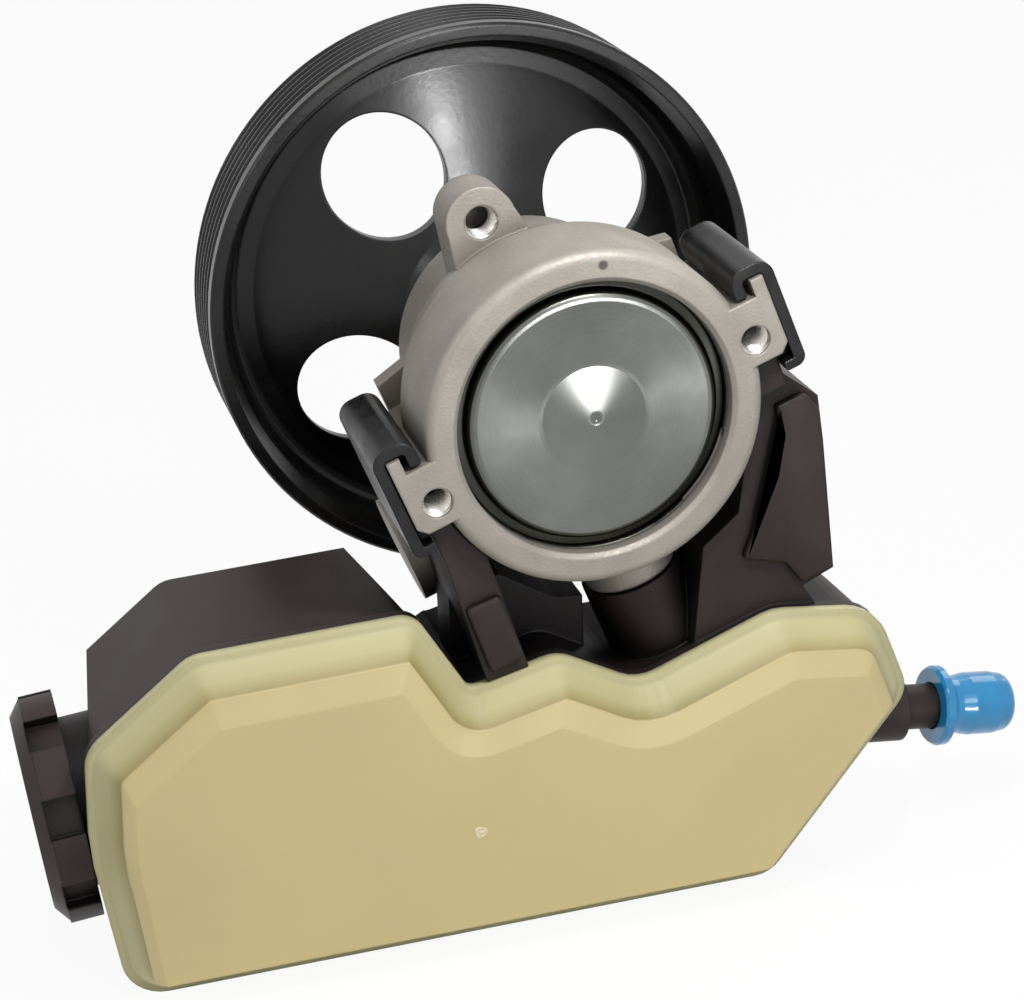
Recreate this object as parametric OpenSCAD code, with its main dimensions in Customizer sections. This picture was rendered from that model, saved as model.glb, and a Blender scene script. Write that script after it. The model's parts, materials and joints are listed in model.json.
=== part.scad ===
// Vane-type power steering pump with a clip-on two-piece fluid reservoir.
// Millimetres. The shaft lies along Y, the pulley is at +Y and +Z is up.
// The origin is midway between the two rear lug holes, on the housing's rear face.

/* [Housing] */
// Outer radius of the round pump body
housing_r = 38; // [36:0.5:40]
// Length of the full-size round body from the rear face
body_len = 23.4; // [20:0.5:28]
// Radius of the front part of the body
front_r = 29.5; // [28.5:0.5:32]
// Distance from the valve bore's axis to the front shoulder of the body
shoulder_gap = 14; // [13.5:0.5:18]
// Radius of the shaft nose
nose_r = 17.5; // [17:0.5:22]
// Length of the shaft nose beyond the shoulder
nose_len = 19; // [15:0.5:20]
// Angle of the line through the two rear lugs above the horizontal
lug_tilt = 20.5; // [18:0.5:23]
// Distance of the lug holes' axes outside the round body
lug_hole_out = 0.7; // [0:0.1:1.5]
// Radius of the tapped lug holes
lug_hole_r = 3.4; // [2.5:0.1:4]
// Depth of the tapped lug holes
lug_hole_depth = 16; // [8:0.5:25]
// Reach of each lug beyond the round body
lug_reach = 7.2; // [6:0.2:9]
// Top of the lug pads above the line through the lugs
lug_top = 9.2; // [8:0.2:10]
// Underside of the lugs below the line through the lugs
lug_bottom = 5.6; // [5:0.2:7]
// Height of the clip rail above the lug pads
rail_h = 4; // [3:0.2:5]
// Thickness of the clip rail
rail_t = 3; // [2:0.2:4]
// Length of the lugs and rails along the shaft
lug_len = 35; // [32:0.5:38]
// Thickness of the ribs at the lugs' far ends
rib_t = 4.5; // [3:0.5:6]
// Height of the ribs above the line through the lugs
rib_h = 15.8; // [14:0.2:17]
// Sideways offset of the top boss
boss_x = -2; // [-4:0.5:0]
// Distance of the top boss from the shaft axis
boss_h = 42; // [40.5:0.5:45]
// Outer radius of the top boss
boss_r = 8; // [7:0.5:10]
// Radius of the tapped hole in the top boss
boss_hole_r = 3.8; // [2.5:0.1:4]
// Depth of the tapped hole in the top boss
boss_hole_depth = 10; // [8:0.5:11]
// Distance of the top boss's rear face from the housing's rear face
boss_y = 28; // [24:0.5:32]
// Length of the top boss
boss_len = 11.5; // [11:0.5:18]

/* [Rotating group] */
// Radius of the chamber for the rotating group
chamber_r = 31.1; // [30.6:0.1:31.6]
// Thickness of the thrust plate
thrust_t = 4.2; // [3:0.1:6]
// Thickness of the cam ring
cam_t = 13; // [10:0.5:16]
// Thickness of the pressure plate
plate_t = 6; // [5:0.1:8]
// Smallest radius of the cam track
cam_minor_r = 19.7; // [19.5:0.1:20]
// Lift of the cam track
cam_lift = 2.6; // [1.5:0.1:3]
// Radius of the rotor
rotor_r = 19.1; // [18.5:0.1:19.1]
// Number of vanes
vane_count = 10; // [6:2:12]
// Thickness of each vane
vane_t = 1.8; // [1.2:0.1:2.2]
// Radial height of each vane
vane_h = 7; // [5:0.2:7.5]
// Radius of the dowel pins
dowel_r = 2; // [1.5:0.1:2.2]
// Distance of the dowel pins' axes inside the chamber's wall
dowel_in = 5.7; // [5.2:0.1:6.1]
// Distance from the end cover's rear face to the pressure plate
cover_to_plate = 10.8; // [10.2:0.1:13]
// Recess of the end cover's flat below the housing's rear face
cover_recess = 2.6; // [1.5:0.1:4]
// Thickness of the end cover
cover_t = 7.8; // [7.4:0.1:9]
// Radius of the dished centre of the end cover
cover_dish_r = 12.5; // [10:0.5:15]
// Height of the dished centre of the end cover
cover_dish_h = 1.4; // [0.8:0.1:2]
// Wire radius of the end cover's retaining ring
snap_wire_r = 0.75; // [0.6:0.05:0.9]
// Angle between the ends of the end cover's retaining ring
snap_gap = 34; // [20:1:50]
// Wire radius of the large sealing rings
seal_wire_r = 1.35; // [1.2:0.05:1.4]

/* [Shaft and pulley] */
// Radius of the drive shaft
shaft_r = 8.5; // [8:0.1:9]
// Radius over the shaft's splines
spline_r = 7.4; // [6.8:0.1:7.6]
// Number of splines
spline_count = 12; // [8:1:16]
// Outer radius of the shaft bushing
bushing_r = 11; // [10.4:0.1:12]
// Length of the shaft bushing
bushing_len = 20; // [14:0.5:24]
// Outer radius of the shaft seal
seal_r = 14; // [12.5:0.1:15]
// Depth of the shaft seal's seat
seal_depth = 8; // [5:0.5:10]
// Gap between the housing's nose and the pulley's hub
pulley_gap = 2.6; // [1.5:0.1:4]
// Outer radius of the pulley
pulley_r = 69; // [64:0.5:74]
// Width of the pulley's rim
rim_w = 24.8; // [24:0.2:28]
// Thickness of the rim behind the belt grooves
rim_t = 3.2; // [2:0.1:4]
// Number of belt grooves
groove_count = 6; // [4:1:6]
// Distance between belt grooves
groove_pitch = 3.4; // [3:0.05:3.5]
// Depth of the belt grooves
groove_depth = 2.2; // [1.5:0.1:2.6]
// Plain land at the rim's rear edge
rim_land = 3.4; // [2:0.1:3.6]
// Offset of the rim's rear edge ahead of the hub's rear face
rim_offset = 4; // [2:0.2:6]
// Length of the pulley's hub
hub_len = 20; // [17:0.5:24]
// Outer radius of the pulley's hub
hub_r = 16; // [14:0.5:18]
// Radius of the circle through the lightening holes
web_hole_pitch_r = 38.4; // [37:0.2:40]
// Radius of the lightening holes
web_hole_r = 14.9; // [10:0.1:16]
// Number of lightening holes
web_hole_count = 4; // [3:1:5]
// Angle of the first lightening hole above the horizontal
web_hole_angle = 34.8; // [0:0.2:90]
// Distance from the hub's rear face to the middle of the web, at the lightening holes
web_y = 16.2; // [15:0.2:17]
// Forward slope of the web per millimetre of radius
web_slope = 0.4; // [0.3:0.01:0.42]
// Thickness of the web
web_t = 3.6; // [2.5:0.1:4.5]

/* [Flow control valve] */
// Height of the valve bore's axis below the shaft axis
valve_drop = 30; // [29:0.5:32]
// Distance of the valve bore's axis in front of the chamber floor
valve_gap = 12.4; // [12:0.2:15]
// Radius of the valve bore
valve_r = 8.5; // [7.5:0.1:8.8]
// Outer radius of the valve boss
valve_boss_r = 13; // [12.5:0.1:13.4]
// Reach of the open end of the valve boss from the shaft axis
valve_open_x = 38; // [35:0.5:39]
// Reach of the closed end of the valve boss from the shaft axis
valve_closed_x = 48; // [40:0.5:49]
// Length of the valve
valve_len = 36; // [30:0.5:40]
// Travel of the valve against its spring
valve_travel = 8; // [4:0.5:9]
// Length of the valve's spring
valve_spring_len = 29; // [26:0.5:32]
// Radius of the union's threaded stem
union_r = 10.3; // [10:0.05:10.5]
// Length of the union's threaded stem
union_stem = 13.7; // [13:0.1:16]
// Size of the union's hexagon across its flats
union_hex = 24; // [20:0.5:25]
// Length of the union's hexagon
union_head = 10; // [8:0.5:11]
// Radius of the pressure port
port_r = 7; // [5:0.1:7.2]
// Depth of the pressure port
port_depth = 12; // [8:0.5:12.5]

/* [Inlet] */
// Distance of the inlet spigot from the housing's rear face
inlet_y = 24; // [22:0.5:26]
// Sideways offset of the inlet spigot
inlet_x = -3; // [-6:0.5:0]
// Radius of the inlet boss
inlet_r = 11; // [9:0.5:12]
// Radius of the inlet spigot
spigot_r = 8; // [7.5:0.1:9]
// Distance of the inlet boss's seat from the shaft axis
inlet_seat = 48; // [46:0.5:57]
// Length of the inlet spigot below its boss
spigot_len = 16; // [8:0.5:18]
// Radius of the suction passage
suction_r = 4; // [3:0.1:4.5]

/* [Reservoir] */
// Reach of the reservoir to the left of the shaft axis
tank_left = 117.5; // [115:0.5:120]
// Reach of the reservoir to the right of the shaft axis
tank_right = 76; // [74:0.5:78]
// Depth of the reservoir below the shaft axis
tank_bottom = 122.8; // [118:0.2:130]
// Distance of the seam between the reservoir's halves from the housing's rear face
seam_y = 6.5; // [5:0.5:8]
// Thickness of the rear half's flange
flange_t = 2.5; // [1.5:0.1:4]
// Thickness of the front half's flange
front_flange_t = 2.5; // [1.5:0.1:4]
// Overhang of the front half's flange past its walls
flange_lip = 1.2; // [0.8:0.1:2]
// Depth of the rear half's bevel
bevel_depth = 8.4; // [5:0.1:12]
// Inward run of the rear half's bevel
bevel_run = 6.7; // [5:0.1:8]
// Thickness of the reservoir's walls
wall = 2.6; // [2:0.1:3.4]
// Depth of the front half from the seam
tank_depth = 43.5; // [40:0.5:50]
// Taper of the front half's end walls
tank_taper = 5; // [0:0.5:7]
// Near face of the reservoir's two pillars
pillar_y = 4; // [3:0.5:8]
// Far face of the reservoir's two pillars
pillar_end = 33; // [28:0.5:34]
// Near face of the right-hand tower
tower_y = 8; // [5:0.5:10]
// Thickness of the rails that the clips hold
pillar_rail_t = 2.2; // [1.8:0.1:3]

/* [Filler] */
// Distance of the filler neck from the housing's rear face
neck_y = 31; // [30:0.5:33]
// Height of the filler neck below the shaft axis
neck_drop = 86.4; // [84:0.2:90]
// Downward tilt of the filler neck
neck_tilt = 5.5; // [0:0.5:8]
// Outer radius of the filler neck
neck_r = 19.6; // [17:0.2:20]
// Length of the filler neck outside the tank
neck_len = 11.6; // [10:0.1:14]
// Wall of the filler neck
neck_wall = 3; // [2:0.1:4]
// Radius over the filler cap's grips
cap_r = 26.4; // [26:0.1:28]
// Depth of the hollows between the filler cap's grips
cap_grip_depth = 3; // [2:0.2:3.4]
// Number of grips on the filler cap
cap_grip_count = 8; // [6:1:10]
// Length of the filler cap's skirt
cap_skirt = 7; // [5:0.2:7.4]
// Thickness of the filler cap's top
cap_top = 3.4; // [2.5:0.1:5]
// Thickness of the filler cap's gasket
gasket_t = 1.6; // [1:0.1:2]
// Length of the dipstick below the gasket
dipstick_len = 74; // [50:1:78]
// Radius of the dipstick
dipstick_r = 2.4; // [2:0.1:3]

/* [Return nipple] */
// Distance of the return nipple from the housing's rear face
nipple_y = 21; // [18:0.5:30]
// Height of the return nipple's root below the shaft axis
nipple_drop = 91.3; // [90:0.2:96]
// Downward tilt of the return nipple
nipple_tilt = 6.5; // [0:0.5:10]
// Radius of the return nipple
nipple_r = 5.5; // [4.5:0.1:5.6]
// Radius of the return nipple's bore
nipple_bore_r = 3.8; // [2.5:0.1:4]
// Radius of the boss at the return nipple's root
nipple_boss_r = 8; // [7:0.5:9]
// Length of the boss at the return nipple's root
nipple_boss_len = 23; // [21:0.5:26]
// Length of the return nipple from the start of its axis
nipple_len = 49; // [45:0.5:52]
// Length of the nipple's dust cap
dust_len = 20.5; // [17:0.5:22]
// Radius of the dust cap's body
dust_r = 7.7; // [7.2:0.1:9]
// Radius of the dust cap's flange
dust_flange_r = 9.8; // [9:0.1:11]

/* [Clips] */
// Thickness of the clips' steel strip
clip_t = 2.6; // [2:0.1:3]
// Distance of the clips from the housing's rear face
clip_y = 1; // [0.5:0.1:3]
// Length of the clips along the shaft
clip_len = 33.5; // [30:0.5:34]
// Width of the clips' hooks
hook_w = 10; // [9:0.2:11]
// Reach of the clips' lower lips
lip_w = 5.2; // [4.4:0.1:6]

/* [Clearances] */
// Gap between seated pieces
seat_gap = 0.05; // [0.02:0.01:0.08]
// Radial gap of running fits
run_gap = 0.05; // [0.02:0.01:0.08]
// Gap between the clips and what they hold
clip_gap = 0.3; // [0.2:0.05:0.4]

/* [Hidden] */
$fn = 64;

// Distances along the shaft, worked out from the stack in the chamber
plate_y = cover_recess + cover_to_plate;
cam_y = plate_y + plate_t;
thrust_y = cam_y + cam_t;
chamber_depth = thrust_y + thrust_t;
valve_y = chamber_depth + valve_gap;
shoulder_y = valve_y + shoulder_gap;
nose_y = shoulder_y + nose_len;
hub_y = nose_y + pulley_gap;
rim_y = hub_y + rim_offset;
cover_front_y = cover_recess + cover_t;

// End cover: the shoulder that its retaining ring bears on, and its sealing ring
cover_r = chamber_r - 0.2;
cover_shoulder_y = cover_recess + 2.8;
cover_body_r = chamber_r - 2.4;
snap_y = cover_shoulder_y - snap_wire_r - seat_gap;
snap_r = chamber_r + 0.3;
seal_groove_w = 2 * seal_wire_r + 2 * seat_gap;
seal_ring_r = chamber_r - seat_gap - seal_wire_r;
seal_floor_r = seal_ring_r - seal_wire_r - seat_gap;
cover_seal_y = cover_front_y - 0.8 - seal_groove_w / 2;
plate_seal_y = plate_y + plate_t / 2;
plate_spring_r = 11;
plate_spring_wire_r = 1.1;
spring_pocket_r = plate_spring_r + plate_spring_wire_r + 0.4;
spring_pocket = 3;

// Shaft and rotor
dowel_pitch_r = chamber_r - dowel_in;
spline_root_r = spline_r - 1;
spline_w = 2;
shaft_tail = 2.4;
rotor_ring_t = 1.2;
vane_tip_r = rotor_r + 0.3;
slot_floor_r = vane_tip_r - vane_h - 0.3;
web_near = hub_y + web_y - web_t / 2;

// Valve
valve_bore_end = 15 - valve_closed_x;
union_bore_r = union_r + 0.1;
union_end_x = valve_open_x - union_stem;
union_nose = 2.4;
valve_right_x = union_end_x - union_nose - 0.2;
valve_left_x = valve_right_x - valve_len;
spring_hole_r = 5.5;
valve_spring_x = valve_bore_end + 0.2;
spring_hole_end = valve_spring_x + valve_spring_len + 0.2;
union_ring_wire_r = 1.2;
union_ring_r = union_bore_r - seat_gap - union_ring_wire_r;
union_ring_x = union_end_x + 4;

// Inlet
spigot_top = -inlet_seat;
spigot_end = spigot_top - spigot_len;
socket_gap = 0.3;
inlet_ring_wire_r = 1.1;
inlet_ring_r = spigot_r + socket_gap - seat_gap - inlet_ring_wire_r;
inlet_ring_z = spigot_top - spigot_len / 2;

// Reservoir outline at the seam: corners as [x, z, corner radius], anticlockwise
outline = [[5.2 - tank_left, -tank_bottom - 1.4, 10], [41.1, -tank_bottom, 8], [tank_right, -79.8, 8],
           [tank_right - 8.6, -57.2, 12], [42.3, -54, 12], [9.5, -66.4, 10],
           [-9.3, -56.1, 9], [-30.3, -61.2, 2.5], [-41.8, -41.2, 6], [25.9 - tank_left, -43, 8],
           [1.4 - tank_left, -62, 9], [-tank_left, -85.2, 40]];
neck_pos = [6.5 - tank_left, neck_y, -neck_drop];
nipple_pos = [tank_right - 18, nipple_y, -nipple_drop];
arc_step = 12;
web_start = pillar_end - 12;
cradle_gap = 0.4;
collar_wall = 1;
buried = 0.8;
seam_gap = 0.3;
bead_h = 0.25;
lid_y = seam_y - flange_t;
plateau_y = lid_y - bevel_depth;
tank_y = seam_y + front_flange_t;
tank_end = seam_y + tank_depth;
lug_pcd = 2 * (housing_r + lug_hole_out);
lug_x = housing_r + lug_reach;
rail_top = lug_top + rail_h;
lug_root = front_r - 10;
rail_under = -(lug_bottom + clip_gap);
lip_top = rail_under - pillar_rail_t - clip_gap;

// Clips
clip_in = lug_x + clip_gap;
clip_out = clip_in + clip_t;
clip_top = rail_top + clip_gap + clip_t;
clip_bottom = lip_top - clip_t * 0.85;

// Rounds the corners of a closed path of [x, z, radius] corners
function unit(v) = v / norm(v);
function xy(p) = [p[0], p[1]];
function corner(a, b, c, r) =
    let (u = unit(a - b), v = unit(c - b), half = acos(u * v) / 2)
    let (centre = b + unit(u + v) * r / sin(half), start = b + u * r / tan(half) - centre)
    let (from = atan2(start[1], start[0]), turn = sign(cross(b - a, c - b)) * (180 - 2 * half))
    let (steps = max(1, round(abs(turn) / arc_step)))
    [for (i = [0:steps]) centre + r * [cos(from + turn * i / steps), sin(from + turn * i / steps)]];
function rounded(p) =
    let (n = len(p))
    [for (i = [0:n - 1]) each corner(xy(p[(i + n - 1) % n]), xy(p[i]), xy(p[(i + 1) % n]), p[i][2])];

// Moves every side of an anticlockwise path of corners inwards by d
function left_of(v) = unit([-v[1], v[0]]);
function inset_corner(a, b, c, r, d) =
    let (m = left_of(b - a), n = left_of(c - b), p = b + d * (m + n) / (1 + m * n))
    [p[0], p[1], max(0.4, r - sign(cross(b - a, c - b)) * d)];
function inset(p, d) =
    let (n = len(p))
    [for (i = [0:n - 1]) inset_corner(xy(p[(i + n - 1) % n]), xy(p[i]), xy(p[(i + 1) % n]), p[i][2], d)];

// Solid of revolution about the shaft axis, from a profile of [radius, distance]
module revolve() { rotate([-90, 0, 0]) rotate_extrude() children(); }
// Profile in the X-Z plane drawn out along the shaft
module drawn(y0, y1) { translate([0, y1, 0]) rotate([90, 0, 0]) linear_extrude(y1 - y0) children(); }
module rod_y(r, y0, y1) { translate([0, y0, 0]) rotate([-90, 0, 0]) cylinder(r = r, h = y1 - y0); }
module rod_x(r, x0, x1) { translate([x0, 0, 0]) rotate([0, 90, 0]) cylinder(r = r, h = x1 - x0); }
module rod_z(r, z0, z1) { translate([0, 0, z0]) cylinder(r = r, h = z1 - z0); }
module ring_y(r, wire, y) { translate([0, y, 0]) revolve() translate([r, 0]) circle(wire, $fn = 24); }

// Frames: the pump's own, tilted with the lugs, and those of its side features
module pump_frame() { rotate([0, -lug_tilt, 0]) children(); }
module valve_frame() { pump_frame() translate([0, valve_y, -valve_drop]) children(); }
module inlet_frame() { pump_frame() translate([inlet_x, inlet_y, 0]) children(); }
module neck_frame() { translate(neck_pos) rotate([0, -90 - neck_tilt, 0]) children(); }
module nipple_frame() { translate(nipple_pos) rotate([0, 90 + nipple_tilt, 0]) children(); }
module both_sides() { children(); mirror([1, 0, 0]) children(); }

// Round wire along a helix about the local Z axis
module coil(r, wire, length, turns) {
    sides = 8;
    steps = ceil(turns * 16);
    rise = (length - 2 * wire) / steps;
    points = [for (i = [0:steps]) for (j = [0:sides - 1])
        let (a = 22.5 * i, b = 360 * j / sides, q = r + wire * cos(b))
        [q * cos(a), q * sin(a), wire + rise * i + wire * sin(b)]];
    walls = [for (i = [0:steps - 1]) for (j = [0:sides - 1])
        let (a = i * sides + j, b = i * sides + (j + 1) % sides)
        [a, b, b + sides, a + sides]];
    start = [[for (j = [sides - 1:-1:0]) j]];
    end = [[for (j = [0:sides - 1]) steps * sides + j]];
    polyhedron(points, concat(start, walls, end), convexity = 10);
}

module lug() {
    edge = 2;
    drawn(0, lug_len) polygon([[lug_root, -lug_bottom], [lug_x - edge, -lug_bottom],
        [lug_x, edge - lug_bottom], [lug_x, rail_top], [lug_x - rail_t, rail_top],
        [lug_x - rail_t, lug_top], [lug_root, lug_top]]);
}

// Rib at the far end of a lug
module lug_rib() {
    rib_x = lug_x - 8;
    slope = 4;
    drawn(lug_len, lug_len + rib_t)
        polygon([[lug_root, -lug_bottom], [rib_x, -lug_bottom], [rib_x, rib_h], [lug_root, rib_h + slope]]);
}

module top_boss() {
    root = 3;
    translate([boss_x, 0, boss_h]) rod_y(boss_r, boss_y, boss_y + boss_len);
    drawn(boss_y, boss_y + boss_len)
        polygon([[boss_x - boss_r - root, front_r - root], [boss_x + boss_r + root, front_r - root],
                 [boss_x + boss_r, boss_h], [boss_x - boss_r, boss_h]]);
}

// Rounded step of a turned profile, from one angle to another
function arc(r, y, radius, a0, a1) =
    [for (i = [0:5]) [r + radius * cos(a0 + (a1 - a0) * i / 5), y + radius * sin(a0 + (a1 - a0) * i / 5)]];

module pump_housing() {
    edge = 2;
    taper = 6;
    fillet = 3;
    rim_wall = 2.6;
    color([0.66, 0.63, 0.59]) difference() {
        union() {
            revolve() polygon(concat([[0, 0]], arc(housing_r - edge, edge, edge, -90, 0),
                [[housing_r, body_len], [chamber_r + rim_wall, chamber_depth + 1],
                 [front_r, chamber_depth + taper]],
                arc(front_r - fillet, shoulder_y - fillet, fillet, 0, 90),
                arc(nose_r + fillet, shoulder_y + fillet, fillet, 270, 180),
                [[nose_r, nose_y - 1], [nose_r - 1, nose_y], [0, nose_y]]));
            pump_frame() both_sides() lug();
            pump_frame() both_sides() lug_rib();
            pump_frame() top_boss();
            valve_frame() rod_x(valve_boss_r, -valve_closed_x, valve_open_x);
            inlet_frame() rod_z(inlet_r, spigot_top, 6 - housing_r);
            inlet_frame() rod_z(spigot_r, spigot_end, spigot_top + 1);
        }
        rod_y(chamber_r, -1, chamber_depth);
        translate([0, -0.01, 0]) rotate([-90, 0, 0]) cylinder(r1 = chamber_r + 1, r2 = chamber_r, h = 1);
        snap_groove();
        pump_frame() both_sides() translate([lug_pcd / 2, 0, 0]) rod_y(lug_hole_r, -1, lug_hole_depth);
        rod_y(bushing_r + seat_gap, chamber_depth - 1, chamber_depth + bushing_len);
        rod_y(shaft_r + 0.6, chamber_depth, nose_y + 1);
        rod_y(seal_r + seat_gap, nose_y - seal_depth, nose_y + 1);
        pump_frame() translate([boss_x, 0, boss_h])
            rod_y(boss_hole_r, boss_y - 1, boss_y + boss_hole_depth);
        pump_frame() both_dowels() rod_y(dowel_r + seat_gap, chamber_depth - 1, chamber_depth + 2.6);
        pump_frame() translate([8, 0, 2 - valve_drop]) rod_y(2.6, chamber_depth - 1, valve_y);
        valve_frame() rod_x(valve_r, valve_bore_end, valve_open_x + 1);
        valve_frame() rod_x(union_bore_r, union_end_x - 0.3, valve_open_x + 1);
        inlet_frame() rod_z(suction_r, spigot_end - 1, 1 - chamber_r);
        inlet_frame() translate([0, 0, inlet_ring_z]) rotate([90, 0, 0])
            ring_groove(spigot_r, inlet_ring_r, inlet_ring_wire_r);
    }
}

module snap_groove() {
    half = snap_wire_r + seat_gap;
    rod_y(snap_r + snap_wire_r + seat_gap, snap_y - half, snap_y + half);
}

// Square groove about the Y axis for a round sealing ring
module ring_groove(outer, ring_r, wire) {
    half = wire + seat_gap;
    difference() {
        rod_y(outer + 1, -half, half);
        rod_y(ring_r - half, -half - 1, half + 1);
    }
}

module both_dowels() {
    for (side = [-1, 1])
        translate([0, 0, side * dowel_pitch_r]) children();
}

module end_cover() {
    round_r = 2.5;
    dimple_r = 1.2;
    dome_y = cover_recess - cover_dish_h;
    dome = [for (i = [1:6]) [cover_dish_r * i / 6, cover_recess - cover_dish_h * (1 + cos(30 * i)) / 2]];
    color([0.62, 0.64, 0.6]) difference() {
        revolve() polygon(concat([[0, dome_y + 0.5], [dimple_r, dome_y + 0.1]], dome,
            arc(cover_body_r - round_r, cover_recess + round_r, round_r, -90, 0),
            [[cover_body_r, cover_shoulder_y], [cover_r, cover_shoulder_y], [cover_r, cover_front_y],
             [spring_pocket_r, cover_front_y], [spring_pocket_r, cover_front_y - spring_pocket],
             [0, cover_front_y - spring_pocket]]));
        translate([0, cover_seal_y, 0]) ring_groove(cover_r, seal_ring_r, seal_wire_r);
    }
}

module cover_retaining_ring() {
    gap_centre = -31;
    color([0.3, 0.3, 0.28]) translate([0, snap_y, 0]) rotate([0, -gap_centre - snap_gap / 2, 0])
        rotate([90, 0, 0]) rotate_extrude(angle = 360 - snap_gap)
            translate([snap_r, 0]) circle(snap_wire_r, $fn = 24);
}

module cover_o_ring() { color([0.1, 0.1, 0.1]) ring_y(seal_ring_r, seal_wire_r, cover_seal_y); }

module pressure_plate_o_ring() { color([0.1, 0.1, 0.1]) ring_y(seal_ring_r, seal_wire_r, plate_seal_y); }

// Kidney-shaped ports through a plate, over the rising parts of the cam
module kidney_ports(y0, y1) {
    for (side = [0, 180])
        pump_frame() rotate([0, side + 25, 0]) translate([0, y0, 0]) rotate([-90, 0, 0])
            rotate_extrude(angle = 40) translate([rotor_r - 3.4, 0]) square([4, y1 - y0]);
}

module pressure_plate() {
    tail_depth = 3.6;
    pocket = 1.2;
    color([0.5, 0.5, 0.5]) difference() {
        rod_y(cover_r, plate_y, cam_y);
        translate([0, plate_seal_y, 0]) ring_groove(cover_r, seal_ring_r, seal_wire_r);
        rod_y(spline_r + 2.2, cam_y - tail_depth, cam_y + 1);
        rod_y(spring_pocket_r, plate_y - 1, plate_y + pocket);
        pump_frame() both_dowels() rod_y(dowel_r + seat_gap, plate_y + 1.5, cam_y + 1);
        kidney_ports(plate_y - 1, cam_y + 1);
    }
}

module pressure_plate_spring() {
    start = cover_front_y - spring_pocket + seat_gap;
    end = plate_y + 1.2 - seat_gap;
    color([0.4, 0.4, 0.42]) translate([0, start, 0]) rotate([-90, 0, 0])
        coil(plate_spring_r, plate_spring_wire_r, end - start, 2);
}

module cam_ring() {
    track = [for (a = [0:5:355]) (cam_minor_r + cam_lift * (1 - cos(2 * a)) / 2) * [sin(a), cos(a)]];
    color([0.45, 0.46, 0.48]) pump_frame() difference() {
        rod_y(cover_r, cam_y, thrust_y);
        drawn(cam_y - 1, thrust_y + 1) polygon(track);
        both_dowels() rod_y(dowel_r + seat_gap, cam_y - 1, thrust_y + 1);
    }
}

module thrust_plate() {
    color([0.5, 0.5, 0.5]) difference() {
        rod_y(cover_r, thrust_y, chamber_depth);
        rod_y(shaft_r + 0.5, thrust_y - 1, chamber_depth + 1);
        pump_frame() both_dowels() rod_y(dowel_r + seat_gap, thrust_y - 1, chamber_depth + 1);
        kidney_ports(thrust_y - 1, chamber_depth + 1);
    }
}

module dowel_pins() {
    color([0.55, 0.55, 0.57]) pump_frame() both_dowels() rod_y(dowel_r, plate_y + 1.7, chamber_depth + 2.4);
}

// Runs its children once for each vane
module each_vane() {
    for (i = [0:vane_count - 1])
        rotate([0, 360 * i / vane_count, 0]) children();
}

// Splined bar, wider than the shaft's own splines by a gap
module splines(y0, y1, gap) {
    width = spline_w + 2 * gap;
    rod_y(spline_root_r + gap, y0, y1);
    for (i = [0:spline_count - 1])
        rotate([0, 360 * i / spline_count, 0]) translate([0, y0, -width / 2])
            cube([spline_r + gap, y1 - y0, width]);
}

module rotor() {
    slot_w = vane_t + 2 * run_gap;
    color([0.48, 0.48, 0.5]) difference() {
        rod_y(rotor_r, cam_y + run_gap, thrust_y - run_gap);
        splines(cam_y - 1, thrust_y + 1, run_gap);
        each_vane() translate([slot_floor_r, cam_y - 1, -slot_w / 2]) cube([rotor_r, cam_t + 2, slot_w]);
    }
}

module vanes() {
    color([0.6, 0.6, 0.62]) each_vane() translate([vane_tip_r - vane_h, cam_y + run_gap, -vane_t / 2])
        cube([vane_h, cam_t - 2 * run_gap, vane_t]);
}

module rotor_retaining_ring() {
    color([0.35, 0.35, 0.36]) difference() {
        rod_y(spline_r + 1.4, cam_y - rotor_ring_t - seat_gap, cam_y - seat_gap);
        rod_y(spline_root_r - 0.6, cam_y - 3, cam_y + 1);
    }
}

module drive_shaft() {
    tail_y = cam_y - shaft_tail;
    end_y = hub_y + hub_len;
    color([0.55, 0.55, 0.57]) difference() {
        union() {
            splines(tail_y, thrust_y + 0.4, 0);
            rod_y(shaft_r, thrust_y + 0.3, end_y - 1);
            translate([0, end_y - 1, 0]) rotate([-90, 0, 0])
                cylinder(r1 = shaft_r, r2 = shaft_r - 1, h = 1);
        }
        difference() {
            rod_y(spline_r + 1, cam_y - rotor_ring_t - 2 * seat_gap, cam_y);
            rod_y(spline_root_r - 0.6 - seat_gap, cam_y - 3, cam_y + 1);
        }
        rod_y(3, end_y - 8, end_y + 1);
    }
}

module shaft_bushing() {
    color([0.7, 0.55, 0.25]) difference() {
        rod_y(bushing_r, chamber_depth + seat_gap, chamber_depth + bushing_len - seat_gap);
        rod_y(shaft_r + run_gap, chamber_depth - 1, chamber_depth + bushing_len + 1);
    }
}

module shaft_seal() {
    lip_t = 1.4;
    color([0.12, 0.12, 0.12]) difference() {
        rod_y(seal_r, nose_y - seal_depth + seat_gap, nose_y - 0.6);
        rod_y(shaft_r + run_gap, nose_y - seal_depth - 1, nose_y + 1);
        translate([0, nose_y - 0.6, 0]) rotate([90, 0, 0])
            cylinder(r1 = seal_r - lip_t, r2 = shaft_r + lip_t, h = 2.6);
    }
}

// Web surface of the pulley at a radius
function web_at(r) = web_near + web_slope * (r - web_hole_pitch_r);

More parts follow.
